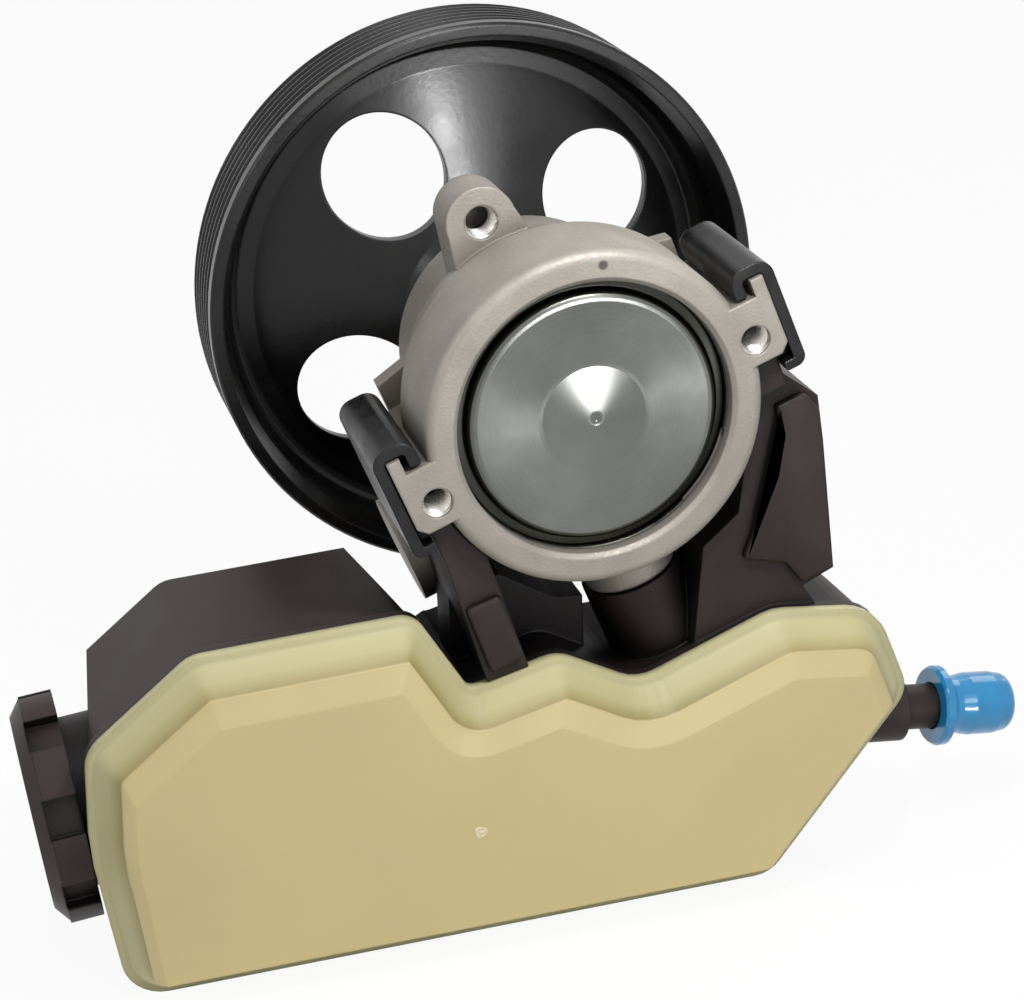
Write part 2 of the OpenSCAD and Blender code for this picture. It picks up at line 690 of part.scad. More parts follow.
module pulley() {
    edge = 0.6;
    rim_end = rim_y + rim_w;
    inner_r = pulley_r - groove_depth - rim_t;
    lip_r = pulley_r - rim_t;
    grooves = [for (i = [0:groove_count - 1])
        let (y = rim_y + rim_land + groove_pitch * i)
        each [[pulley_r, y + 0.3], [pulley_r - groove_depth, y + groove_pitch / 2 - 0.3],
              [pulley_r - groove_depth, y + groove_pitch / 2 + 0.3], [pulley_r, y + groove_pitch - 0.3]]];
    color([0.07, 0.07, 0.07]) difference() {
        revolve() polygon(concat([[shaft_r + seat_gap, hub_y], [hub_r - edge, hub_y], [hub_r, hub_y + edge],
            [hub_r, web_at(hub_r) - 3], [hub_r + 1, web_at(hub_r) - 0.9], [hub_r + 4, web_at(hub_r + 4)],
            [inner_r - 8, web_at(inner_r - 8)]],
            arc(inner_r - 6, web_at(inner_r - 8) - 5, 6, 70, 0),
            [[inner_r, rim_y + 6], [lip_r, rim_y], [pulley_r - edge, rim_y], [pulley_r, rim_y + edge]],
            grooves,
            [[pulley_r, rim_end - edge], [pulley_r - edge, rim_end], [inner_r + 1, rim_end],
             [inner_r - 1, web_at(inner_r - 3) + web_t], [hub_r + 3, web_at(hub_r + 3) + web_t],
             [hub_r, web_at(hub_r) + web_t + 2], [hub_r, hub_y + hub_len - edge],
             [hub_r - edge, hub_y + hub_len], [shaft_r + seat_gap, hub_y + hub_len]]));
        for (i = [0:web_hole_count - 1])
            rotate([0, -web_hole_angle - 360 * i / web_hole_count, 0]) translate([web_hole_pitch_r, 0, 0])
                rod_y(web_hole_r, hub_y, rim_end + 1);
    }
}

module flow_control_valve() {
    land = 9;
    waist_r = valve_r - 1.5;
    color([0.55, 0.55, 0.56]) valve_frame() difference() {
        union() {
            rod_x(valve_r - run_gap, valve_left_x, valve_left_x + land);
            rod_x(waist_r, valve_left_x, valve_right_x);
            rod_x(valve_r - run_gap, valve_right_x - land, valve_right_x);
        }
        rod_x(spring_hole_r, valve_left_x - 1, spring_hole_end);
        rod_x(1.2, valve_left_x, valve_right_x + 1);
    }
}

module flow_control_spring() {
    color([0.4, 0.4, 0.42]) valve_frame() translate([valve_spring_x, 0, 0]) rotate([0, 90, 0])
        coil(spring_hole_r - 1, 0.7, valve_spring_len, 8);
}

module outlet_union() {
    head_end = valve_open_x + union_head;
    color([0.6, 0.6, 0.6]) valve_frame() difference() {
        union() {
            rod_x(valve_r - 0.3, union_end_x - union_nose, union_end_x + 1);
            rod_x(union_r, union_end_x, valve_open_x + 1);
            translate([valve_open_x, 0, 0]) rotate([0, 90, 0])
                cylinder(d = union_hex / cos(30), h = union_head, $fn = 6);
        }
        rod_x(port_r, head_end - port_depth, head_end + 1);
        rod_x(1.8, union_end_x - union_nose - 1, head_end);
        translate([union_ring_x, 0, 0]) rotate([0, 0, 90])
            ring_groove(union_r, union_ring_r, union_ring_wire_r);
    }
}

module outlet_union_o_ring() {
    color([0.1, 0.1, 0.1]) valve_frame() translate([union_ring_x, 0, 0]) rotate([0, 0, 90])
        ring_y(union_ring_r, union_ring_wire_r, 0);
}

module inlet_o_ring() {
    color([0.1, 0.1, 0.1]) inlet_frame() translate([0, 0, inlet_ring_z]) rotate([90, 0, 0])
        ring_y(inlet_ring_r, inlet_ring_wire_r, 0);
}

// Rail under a lug, with the neck that the clip's lower lip passes under
module clip_rail() {
    neck_x = clip_out - lip_w - clip_gap;
    inner_x = housing_r - 6;
    foot = rail_under - 9;
    drawn(pillar_y, clip_y + clip_len - 1) difference() {
        polygon([[inner_x, rail_under], [lug_x, rail_under], [lug_x, rail_under - pillar_rail_t],
                 [neck_x, rail_under - pillar_rail_t], [neck_x, foot], [inner_x, foot]]);
        circle(housing_r + cradle_gap);
    }
}

module left_pillar() {
    drawn(pillar_y, pillar_end) difference() {
        translate([-housing_r, 0]) polygon([[-3, rail_under - 4], [5, rail_under - 4], [2.1, -51],
            [-7.9, -51], [-4.4, clip_bottom - 3], [-3, clip_bottom - 1]]);
        circle(housing_r + cradle_gap);
    }
}

// Web between the left pillar and the tank's hump
module pillar_web() {
    drawn(web_start, pillar_end) polygon([[-30, -44], [-18, -42], [-5, -49.9], [1.5, -50.4], [1.5, -64], [-30, -63]]);
}

module right_tower() {
    drawn(tower_y, pillar_end - 1) difference() {
        translate([housing_r, 0]) polygon([[1.3, 0.6], [7.8, 2], [16, -4.2], [17.4, -15.2], [20.2, -47],
            [12.7, -50.4], [18, -59], [-14, -61.7], [-11.5, -37], [-3, -30]]);
        circle(housing_r + cradle_gap);
    }
}

// Space outside a wall that runs from a to b, where the wall's line gives [distance, inward shift] points
module outside(a, b, line, before, after) {
    reach = 15;
    angle = atan2(b[1] - a[1], b[0] - a[0]);
    translate([a[0], 0, a[1]]) rotate([0, -angle, 0]) translate([-before, 0, 0]) rotate([90, 0, 90])
        linear_extrude(norm(b - a) + before + after)
            polygon(concat([[line[0][0], -reach]], line, [[line[len(line) - 1][0], -reach]]));
}

// Tank with its walls moved inwards; their lean starts inside the flange
module tank(start, inwards) {
    walls = inset(outline, flange_lip + inwards);
    lean = tank_taper / tank_depth;
    from = tank_y - buried;
    line = [for (y = [seam_y - 3, tank_end + 1]) [y, lean * (y - from)]];
    over = 30;
    difference() {
        drawn(start, tank_end - inwards) polygon(rounded(walls));
        outside(xy(walls[10]), xy(walls[11]), line, over, 0);
        outside(xy(walls[11]), xy(walls[0]), line, 0, over);
        outside(xy(walls[7]), xy(walls[8]), line, 0, over);
        outside(xy(walls[2]), xy(walls[3]), line, over, over);
    }
}

// Top of the rear shell with the first of its bevels, up to a number; they start inside the flange
module lid(rim, last) {
    n = len(rim);
    lean = (bevel_run - flange_lip) / (bevel_depth + buried);
    line = [for (y = [plateau_y - 1, seam_y]) [y, lean * (lid_y + buried - y)]];
    over = 0.05;
    mitre = 0.7;
    a = rim[last];
    b = rim[(last + 1) % n];
    into = cross(a - rim[(last + n - 1) % n], b - a);
    out_of = cross(b - a, rim[(last + 2) % n] - b);
    difference() {
        if (last == 0)
            drawn(plateau_y, seam_y - buried) polygon(rim);
        else
            lid(rim, last - 1);
        outside(a, b, line, into < 0 ? mitre : over, out_of < 0 ? mitre : over);
    }
}

// Inside of the rear shell, in two steps
module lid_cavity() {
    drawn(plateau_y + wall, seam_y + 1) polygon(rounded(inset(outline, bevel_run + wall)));
    drawn(plateau_y + wall + bevel_depth / 2, seam_y + 1)
        polygon(rounded(inset(outline, bevel_run / 2 + wall)));
}

module reservoir_front() {
    color([0.16, 0.14, 0.14]) difference() {
        union() {
            difference() {
                union() {
                    drawn(seam_y, tank_y) polygon(rounded(outline));
                    tank(seam_y, 0);
                    difference() {
                        pump_frame() left_pillar();
                        drawn(pillar_y - 1, seam_y + buried) polygon(rounded(inset(outline, -seam_gap)));
                    }
                    pillar_web();
                    pump_frame() both_sides() clip_rail();
                    right_tower();
                }
                tank(seam_y - 1, wall);
            }
            inlet_frame() rod_z(inlet_r + collar_wall, spigot_end - 8, spigot_top - 0.3);
            neck_frame() rod_z(neck_r, -6, neck_len);
            nipple_frame() rod_z(nipple_boss_r, 0, nipple_boss_len);
            nipple_frame() rod_z(nipple_r, 0, nipple_len);
            nipple_frame() rod_z(nipple_r + bead_h, nipple_len - 3, nipple_len);
        }
        neck_frame() rod_z(neck_r - neck_wall, -12, neck_len + 1);
        nipple_frame() rod_z(nipple_bore_r, -1, nipple_len + 1);
        inlet_frame() rod_z(spigot_r + socket_gap, spigot_end - 0.5, spigot_top + 20);
        inlet_frame() rod_z(suction_r, spigot_end - 20, spigot_end);
    }
}

module reservoir_rear() {
    rim = rounded(inset(outline, flange_lip));
    color([0.85, 0.79, 0.6]) difference() {
        union() {
            lid(rim, len(rim) - 1);
            drawn(lid_y, seam_y) polygon(rounded(outline));
        }
        lid_cavity();
    }
}

// Spring clip that hooks over a lug's rail and under the reservoir's rail
module clip() {
    hook_x = clip_out - hook_w;
    hook_end = lug_top + 0.4;
    inside_top = rail_top + clip_gap;
    inside_r = 0.8;
    drawn(clip_y, clip_y + clip_len) polygon(rounded([[clip_out - lip_w, clip_bottom, 0.8],
        [clip_out, clip_bottom, 2.4], [clip_out, clip_top, 3.6], [hook_x, clip_top, 3.6],
        [hook_x, hook_end, 0.8], [hook_x + clip_t, hook_end, 0.8], [hook_x + clip_t, inside_top, inside_r],
        [clip_in, inside_top, inside_r], [clip_in, lip_top, 0.5], [clip_out - lip_w, lip_top, 0.5]]));
}

module right_clip() { color([0.09, 0.09, 0.09]) pump_frame() clip(); }

module left_clip() { color([0.09, 0.09, 0.09]) pump_frame() mirror([1, 0, 0]) clip(); }

module filler_cap() {
    inside = neck_len + gasket_t + seat_gap;
    notch_w = PI * cap_r / cap_grip_count * 0.86;
    color([0.13, 0.11, 0.11]) neck_frame() difference() {
        union() {
            difference() {
                rod_z(cap_r, inside - cap_skirt, inside + 0.6);
                for (i = [0:cap_grip_count - 1])
                    rotate([0, 0, 360 * (i + 0.5) / cap_grip_count])
                        translate([cap_r - cap_grip_depth, -notch_w / 2, inside - cap_skirt - 1])
                            cube([cap_r, notch_w, cap_skirt + 2]);
            }
            translate([0, 0, inside + 0.6]) cylinder(r1 = cap_r - 0.5, r2 = cap_r - 4.2, h = cap_top - 0.6);
        }
        rod_z(neck_r + 0.5, inside - cap_skirt - 1, inside);
    }
}

module filler_cap_gasket() {
    color([0.2, 0.2, 0.2]) neck_frame() difference() {
        rod_z(neck_r - 0.2, neck_len + seat_gap, neck_len + gasket_t);
        rod_z(neck_r - neck_wall + 0.2, neck_len - 1, neck_len + gasket_t + 1);
    }
}

module dipstick() {
    blade = 26;
    blade_t = 2;
    head_r = 8;
    head_t = 1.4;
    top = neck_len + gasket_t;
    tip = neck_len - dipstick_len;
    color([0.14, 0.13, 0.12]) neck_frame() difference() {
        union() {
            rod_z(head_r, top - head_t, top);
            rod_z(dipstick_r, tip, top - head_t / 2);
        }
        for (turn = [0, 180])
            rotate([0, 0, turn]) translate([-dipstick_r - 1, blade_t / 2, tip - 1])
                cube([2 * dipstick_r + 2, dipstick_r, blade]);
    }
}

module dust_cap() {
    crown = 3.4;
    start = nipple_len - dust_len + crown;
    end = start + dust_len;
    bore_r = nipple_r + bead_h + run_gap;
    round_r = 3;
    flange = 2.4;
    waist = start + 1.8 * flange;
    color([0.14, 0.5, 0.78]) nipple_frame() rotate_extrude() polygon(concat([[bore_r, start],
        [dust_flange_r - 0.6, start], [dust_flange_r, start + 0.8], [dust_flange_r, start + flange],
        [dust_r - 0.5, waist], [dust_r - 0.6, waist + 1.6], [dust_r, waist + 2 * flange],
        [dust_r, end - round_r - 2]],
        arc(dust_r - round_r - 0.4, end - round_r, round_r, 0, 90),
        [[0, end], [0, nipple_len + 1.5], [bore_r, nipple_len + 1.5]]));
}

pump_housing();
end_cover();
cover_retaining_ring();
cover_o_ring();
pressure_plate();
pressure_plate_o_ring();
pressure_plate_spring();
cam_ring();
rotor();
vanes();
rotor_retaining_ring();
thrust_plate();
dowel_pins();
drive_shaft();
shaft_bushing();
shaft_seal();
pulley();
flow_control_valve();
flow_control_spring();
outlet_union();
outlet_union_o_ring();
inlet_o_ring();
reservoir_front();
reservoir_rear();
left_clip();
right_clip();
filler_cap();
filler_cap_gasket();
dipstick();
dust_cap();
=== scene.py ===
"""Looks of a vane-type power steering pump with a clip-on fluid reservoir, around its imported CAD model."""

import json
import math

import bmesh
import bpy
from mathutils import Matrix, Vector


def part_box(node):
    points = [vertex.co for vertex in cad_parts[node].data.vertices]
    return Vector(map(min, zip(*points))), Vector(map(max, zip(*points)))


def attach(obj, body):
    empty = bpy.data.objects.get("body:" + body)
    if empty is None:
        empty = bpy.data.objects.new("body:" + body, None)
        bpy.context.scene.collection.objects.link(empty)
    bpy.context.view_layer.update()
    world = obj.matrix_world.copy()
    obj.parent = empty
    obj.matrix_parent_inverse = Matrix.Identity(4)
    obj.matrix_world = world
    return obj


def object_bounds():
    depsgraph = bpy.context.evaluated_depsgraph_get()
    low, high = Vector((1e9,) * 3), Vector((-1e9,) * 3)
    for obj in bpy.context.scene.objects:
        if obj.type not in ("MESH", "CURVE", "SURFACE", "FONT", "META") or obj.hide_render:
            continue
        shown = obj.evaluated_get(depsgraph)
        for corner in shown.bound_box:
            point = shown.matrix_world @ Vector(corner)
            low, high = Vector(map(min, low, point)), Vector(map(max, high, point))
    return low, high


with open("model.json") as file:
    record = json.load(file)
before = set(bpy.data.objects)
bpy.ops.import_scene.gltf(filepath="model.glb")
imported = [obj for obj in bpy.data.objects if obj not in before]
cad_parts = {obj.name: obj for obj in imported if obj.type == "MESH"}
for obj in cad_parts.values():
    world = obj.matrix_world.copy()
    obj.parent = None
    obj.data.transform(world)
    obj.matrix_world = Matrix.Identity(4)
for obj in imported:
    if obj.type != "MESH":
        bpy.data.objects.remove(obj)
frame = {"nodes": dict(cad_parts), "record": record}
CAD_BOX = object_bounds()
NODES = frame["nodes"]
MM = 0.001

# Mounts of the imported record, by name
MOUNTS = {mount["name"]: mount for mount in frame["record"]["mounts"]}

# The pump's own axes, tilted with the line through its lugs
LUG_TILT = math.radians(20.5)
PUMP_X = Vector((math.cos(LUG_TILT), 0, math.sin(LUG_TILT)))
AHEAD = Vector((0, 1, 0))

# The rear shell's plateau, the panel raised over it, and two small marks that the photograph shows
PLATEAU_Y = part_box("reservoir_rear")[0].y
PANEL_RISE = 1.2 * MM
GATE_MARK = Vector((-31.8 * MM, PLATEAU_Y - PANEL_RISE, -92 * MM))
PUNCH_MARK = (2.1 * MM, 0, 34.8 * MM)

# Edges with a wider angle than this stay crisp when a mesh is shaded smooth
NODE_CRISP_ANGLE = math.radians(32)
SLAB_CRISP_ANGLE = math.radians(40)


# Finishes
class Shader:
    """A material's node tree, with short calls for the nodes that the finishes share."""

    SHADE_MASK_SAMPLES = 8
    BEVEL_SAMPLES = 6

    def __init__(self, name, metallic=0.0, specular=0.5):
        self.material = bpy.data.materials.new(name)
        self.material.use_nodes = True
        self.tree = self.material.node_tree
        self.surface = self.tree.nodes["Principled BSDF"]
        self.surface.inputs["Metallic"].default_value = metallic
        self.surface.inputs["Specular IOR Level"].default_value = specular
        self.place = self.add("ShaderNodeTexCoord").outputs["Object"]

    def add(self, kind, **settings):
        """New node of the tree, with its settings."""
        node = self.tree.nodes.new(kind)
        for key, value in settings.items():
            setattr(node, key, value)
        return node

    def link(self, source, target):
        self.tree.links.new(source, target)

    def noise(self, size_mm, detail=3.0, stretch=None):
        """Noise whose features are about size_mm across; stretch scales the row axes."""
        node = self.add("ShaderNodeTexNoise")
        node.inputs["Scale"].default_value = 1 / (size_mm * MM)
        node.inputs["Detail"].default_value = detail
        place = self.place
        if stretch:
            mapping = self.add("ShaderNodeMapping")
            mapping.inputs["Scale"].default_value = stretch
            self.link(place, mapping.inputs["Vector"])
            place = mapping.outputs["Vector"]
        self.link(place, node.inputs["Vector"])
        return node.outputs["Fac"]

    def ramp(self, value, stops):
        """Colour ramp through (position, colour) stops."""
        node = self.add("ShaderNodeValToRGB")
        band = node.color_ramp
        while len(band.elements) < len(stops):
            band.elements.new(0.5)
        for element, (position, colour) in zip(band.elements, stops):
            element.position = position
            element.color = (*colour, 1)
        self.link(value, node.inputs["Fac"])
        return node.outputs["Color"]

    def spread(self, value, low, high, out_low, out_high):
        """Maps a value from one range to another, held at the ends."""
        node = self.add("ShaderNodeMapRange")
        node.inputs["From Min"].default_value = low
        node.inputs["From Max"].default_value = high
        node.inputs["To Min"].default_value = out_low
        node.inputs["To Max"].default_value = out_high
        self.link(value, node.inputs["Value"])
        return node.outputs["Result"]

    def mix(self, share, base, tint):
        """Base colour with a share of a tint mixed in."""
        node = self.add("ShaderNodeMix", data_type="RGBA")
        base_socket, tint_socket = [socket for socket in node.inputs if socket.type == "RGBA"]
        self.link(share, node.inputs["Factor"])
        self.link(base, base_socket)
        tint_socket.default_value = (*tint, 1)
        return [socket for socket in node.outputs if socket.type == "RGBA"][0]

    def math(self, operation, *values):
        """Result of a maths node on one or two sockets."""
        node = self.add("ShaderNodeMath", operation=operation)
        for value, socket in zip(values, node.inputs):
            self.link(value, socket)
        return node.outputs["Value"]

    def axis(self, name):
        """One row-frame coordinate of the shaded point, in metres."""
        node = self.add("ShaderNodeSeparateXYZ")
        self.link(self.place, node.inputs["Vector"])
        return node.outputs[name]

    def radius(self):
        """Distance of the shaded point from the shaft axis, in metres."""
        x, z = self.axis("X"), self.axis("Z")
        squares = self.math("ADD", self.math("MULTIPLY", x, x), self.math("MULTIPLY", z, z))
        return self.math("SQRT", squares)

    def spot(self, centre, size_mm):
        """1 within a small spot of the surface, fading to 0 over its edge."""
        node = self.add("ShaderNodeVectorMath", operation="DISTANCE")
        self.link(self.place, node.inputs[0])
        node.inputs[1].default_value = centre
        return self.spread(node.outputs["Value"], 0.6 * size_mm * MM, size_mm * MM, 1.0, 0.0)

    def painted_shade_mask(self, reach_mm):
        """1 on open surfaces, less in corners and recesses: the mask that painted shade follows."""
        # Ambient occlusion, used to paint shade into corners and recesses
        node = self.add("ShaderNodeAmbientOcclusion", samples=self.SHADE_MASK_SAMPLES)
        node.inputs["Distance"].default_value = reach_mm * MM
        return node.outputs["AO"]

    def colour(self, socket):
        self.link(socket, self.surface.inputs["Base Color"])

    def rough(self, value, low, high):
        """Roughness that follows a noise value."""
        self.link(self.spread(value, 0.3, 0.7, low, high), self.surface.inputs["Roughness"])

    def relief(self, height, depth_mm, round_mm=0.0):
        """Bump of a given depth, over edges rounded by a small radius."""
        bump = self.add("ShaderNodeBump")
        bump.inputs["Strength"].default_value = 1
        bump.inputs["Distance"].default_value = depth_mm * MM
        self.link(height, bump.inputs["Height"])
        if round_mm:
            bevel = self.add("ShaderNodeBevel", samples=self.BEVEL_SAMPLES)
            bevel.inputs["Radius"].default_value = round_mm * MM
            self.link(bevel.outputs["Normal"], bump.inputs["Normal"])
        self.link(bump.outputs["Normal"], self.surface.inputs["Normal"])


def cast_aluminium():
    """Cast body: warm grey, grainy, with painted shade darkening its corners, and a punch mark on the rear
    face.
    """
    s = Shader("cast_aluminium", metallic=0.35, specular=0.4)
    blotch, grain = s.noise(12, 3), s.noise(0.7, 3)
    tone = s.ramp(blotch, [(0.3, (0.25, 0.227, 0.20)), (0.5, (0.28, 0.256, 0.226)),
                           (0.7, (0.31, 0.286, 0.254))])
    speck = s.spread(s.noise(0.45, 2), 0.64, 0.78, 0.0, 0.4)
    grainy = s.mix(speck, tone, (0.21, 0.19, 0.168))
    # Painted shade: darker brown in corners and recesses, by ambient occlusion
    painted_shade_share = s.spread(s.painted_shade_mask(6), 0.35, 0.9, 0.55, 0.0)
    grain_and_painted_shade = s.mix(painted_shade_share, grainy, (0.12, 0.10, 0.085))
    s.colour(s.mix(s.spot(PUNCH_MARK, 1.3), grain_and_painted_shade, (0.07, 0.06, 0.055)))
    s.rough(grain, 0.42, 0.6)
    s.relief(grain, 0.08, round_mm=0.7)
    return s.material


def cut_aluminium():
    """Freshly cut threads."""
    s = Shader("cut_aluminium", metallic=1.0)
    scratch = s.noise(0.4, 3, stretch=(1, 6, 1))
    s.colour(s.ramp(scratch, [(0.3, (0.58, 0.55, 0.50)), (0.7, (0.74, 0.71, 0.66))]))
    s.rough(scratch, 0.22, 0.36)
    s.relief(scratch, 0.01)
    return s.material


def zinc_plate():
    """Plated steel, with faint smudges, the rings that turning leaves, and painted shade darkening it in its
    recess.
    """
    s = Shader("zinc_plate", metallic=1.0)
    smudge, fine = s.noise(16, 3), s.noise(0.5, 2)
    rings = s.add("ShaderNodeTexNoise", noise_dimensions="1D")
    rings.inputs["Scale"].default_value = 1 / (0.35 * MM)
    s.link(s.radius(), rings.inputs["W"])
    tone = s.ramp(smudge, [(0.3, (0.15, 0.158, 0.147)), (0.55, (0.175, 0.183, 0.17)),
                           (0.75, (0.205, 0.213, 0.198))])
    plate = s.mix(s.spread(rings.outputs["Fac"], 0.35, 0.65, 0.0, 0.12), tone, (0.26, 0.27, 0.255))
    # Painted shade: near black in corners and recesses within 8 mm, by ambient occlusion
    painted_shade_share = s.spread(s.painted_shade_mask(8), 0.5, 0.92, 0.92, 0.0)
    s.colour(s.mix(painted_shade_share, plate, (0.022, 0.022, 0.016)))
    s.rough(smudge, 0.2, 0.26)
    s.surface.inputs["Anisotropic"].default_value = 0.65
    tangent = s.add("ShaderNodeTangent", direction_type="RADIAL", axis="Y")
    s.link(tangent.outputs["Tangent"], s.surface.inputs["Tangent"])
    s.relief(fine, 0.004, round_mm=0.5)
    return s.material


def spring_steel():
    """Dark oiled wire of the rings and springs."""
    s = Shader("spring_steel", metallic=1.0)
    film = s.noise(2.5, 3)
    s.colour(s.ramp(film, [(0.3, (0.03, 0.03, 0.024)), (0.7, (0.07, 0.068, 0.056))]))
    s.rough(film, 0.28, 0.45)
    s.relief(s.noise(0.4), 0.02, round_mm=0.2)
    return s.material


def ground_steel():
    """Bright steel, ground across the shaft."""
    s = Shader("ground_steel", metallic=1.0)
    grind = s.noise(0.5, 3, stretch=(1, 12, 1))
    s.colour(s.ramp(grind, [(0.3, (0.42, 0.42, 0.43)), (0.7, (0.56, 0.56, 0.57))]))
    s.rough(grind, 0.22, 0.4)
    s.relief(grind, 0.01, round_mm=0.2)
    return s.material


def bronze():
    """Bearing bronze with oil stains."""
    s = Shader("bronze", metallic=1.0)
    stain = s.noise(3, 4)
    s.colour(s.ramp(stain, [(0.3, (0.40, 0.23, 0.08)), (0.7, (0.58, 0.38, 0.15))]))
    s.rough(stain, 0.3, 0.5)
    s.relief(s.noise(0.4), 0.02)
    return s.material


def rubber():
    """Black sealing rubber with a faint bloom."""
    s = Shader("rubber", specular=0.3)
    bloom = s.noise(4, 4)
    s.colour(s.ramp(bloom, [(0.3, (0.010, 0.010, 0.010)), (0.7, (0.024, 0.024, 0.025))]))
    s.rough(bloom, 0.5, 0.75)
    s.relief(s.noise(0.6), 0.03)
    return s.material


def pulley_paint():
    """Glossy black paint with a slight orange peel and thin dust."""
    s = Shader("pulley_paint", specular=0.34)
    dust, peel = s.noise(14, 5), s.noise(1.4, 2)
    s.colour(s.ramp(dust, [(0.35, (0.003, 0.003, 0.003)), (0.75, (0.009, 0.008, 0.0075))]))
    s.rough(dust, 0.22, 0.32)
    s.relief(peel, 0.02, round_mm=0.8)
    return s.material


def clip_paint():
    """Black dipped coat of the spring clips."""
    s = Shader("clip_paint", specular=0.3)
    film, grain = s.noise(6, 4), s.noise(0.5, 2)
    s.colour(s.ramp(film, [(0.35, (0.004, 0.004, 0.004)), (0.75, (0.010, 0.009, 0.009))]))
    s.rough(film, 0.24, 0.4)
    s.relief(grain, 0.03, round_mm=0.6)
    return s.material


def dark_plastic():
    """Brown-black moulded plastic, with painted shade making it near black in its recesses."""
    s = Shader("dark_plastic", specular=0.18)
    haze, grain = s.noise(18, 5), s.noise(0.5, 2)
    bloom = s.ramp(haze, [(0.3, (0.025, 0.016, 0.0155)), (0.7, (0.041, 0.0275, 0.027))])
    # Painted shade: near black in recesses and corners, by ambient occlusion over 25 mm
    painted_recess_shade = s.spread(s.painted_shade_mask(25), 0.35, 0.92, 0.95, 0.0)
    s.colour(s.mix(painted_recess_shade, bloom, (0.004, 0.003, 0.003)))
    s.rough(haze, 0.4, 0.55)
    s.relief(grain, 0.04, round_mm=0.8)
    return s.material


def natural_plastic(name, round_mm):
    """Uncoloured plastic: pale green at the rim, a painted shadow line where the bevel ends, warm over the
    plateau.
    """
    s = Shader(name, specular=0.4)
    low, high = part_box("reservoir_rear")
    depth = s.spread(s.axis("Y"), low.y, high.y, 0.0, 1.0)
    # The dark olive stops at 0.05 and 0.16 are a painted shadow line at the foot of the bevel
    wall = s.ramp(depth, [(0.012, (0.60, 0.50, 0.245)), (0.05, (0.27, 0.22, 0.085)),
                          (0.16, (0.34, 0.295, 0.125)), (0.38, (0.45, 0.415, 0.22)),
                          (0.9, (0.50, 0.475, 0.28))])
    flow = s.noise(34, 3)
    s.colour(s.mix(s.spread(flow, 0.35, 0.65, 0.0, 0.3), wall, (0.50, 0.43, 0.215)))
    s.rough(flow, 0.38, 0.52)
    s.surface.inputs["Subsurface Weight"].default_value = 0.15
    s.surface.inputs["Subsurface Radius"].default_value = (4 * MM, 3 * MM, 1.5 * MM)
    s.surface.inputs["Subsurface Scale"].default_value = 1
    s.relief(s.noise(1.2, 2), 0.02, round_mm=round_mm)
    return s.material


def torn_plastic():
    """Whitened plastic where the moulding's feed was broken off."""
    s = Shader("torn_plastic", specular=0.3)
    grain = s.noise(0.5, 3)
    s.colour(s.ramp(grain, [(0.3, (0.66, 0.57, 0.33)), (0.7, (0.80, 0.72, 0.47))]))
    s.rough(grain, 0.4, 0.6)
    s.relief(grain, 0.02)
    return s.material


def blue_plastic():
    """Glossy blue of the dust cap."""
    s = Shader("blue_plastic", specular=0.5)
    flow = s.noise(6, 3)
    s.colour(s.ramp(flow, [(0.3, (0.005, 0.20, 0.46)), (0.7, (0.008, 0.26, 0.54))]))
    s.rough(flow, 0.12, 0.22)
    s.surface.inputs["Coat Weight"].default_value = 0.4
    s.relief(s.noise(1.5, 2), 0.02, round_mm=0.5)
    return s.material


# Finishes by the record's slots, and three more for small pieces
FINISHES = {
    "cast_aluminium": cast_aluminium(),
    "zinc_steel": zinc_plate(),
    "spring_steel": spring_steel(),
    "steel": ground_steel(),
    "bronze": bronze(),
    "rubber": rubber(),
    "pulley_paint": pulley_paint(),
    "clip_paint": clip_paint(),
    "dark_plastic": dark_plastic(),
    "natural_plastic": natural_plastic("natural_plastic", 2.0),
    "blue_plastic": blue_plastic(),
}
CUT_ALUMINIUM = cut_aluminium()
CRISP_PLASTIC = natural_plastic("crisp_plastic", 0.7)
TORN_PLASTIC = torn_plastic()

for entry in frame["record"]["subparts"]:
    node = NODES[entry["node"]]
    node.data.materials.clear()
    node.data.materials.append(FINISHES[entry["material_slot"]])
    node.data.shade_smooth()
    node.data.set_sharp_from_angle(angle=NODE_CRISP_ANGLE)


# Pieces that the solids leave plain
def piece(name, points, faces, material, body="pump"):
    """Mesh piece that rides on a body, with the finish it is given."""
    mesh = bpy.data.meshes.new(name)
    mesh.from_pydata(points, [], faces)
    mesh.materials.append(material)
    obj = bpy.data.objects.new(name, mesh)
    bpy.context.scene.collection.objects.link(obj)
    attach(obj, body)
    return obj


def bands(rings, around):
    """Quads between neighbouring rings of points."""
    faces = []
    for here in range(0, (rings - 1) * around, around):
        there = here + around
        for k in range(around):
            after = (k + 1) % around
            faces.append((here + k, here + after, there + after, there + k))
    return faces


def capped_bands(rings, around):
    """Quads between neighbouring rings of points, and a cap over the last ring."""
    return bands(rings, around) + [tuple(range((rings - 1) * around, rings * around))]


# A thread's ridge, in shares of its pitch, and how far its foot is sunk in the hole's wall
THREAD_STEPS = 40
THREAD_DEPTH = 0.55
THREAD_HALF_WIDTH = 0.46
THREAD_START = 0.8
THREAD_SEAT = 0.04 * MM


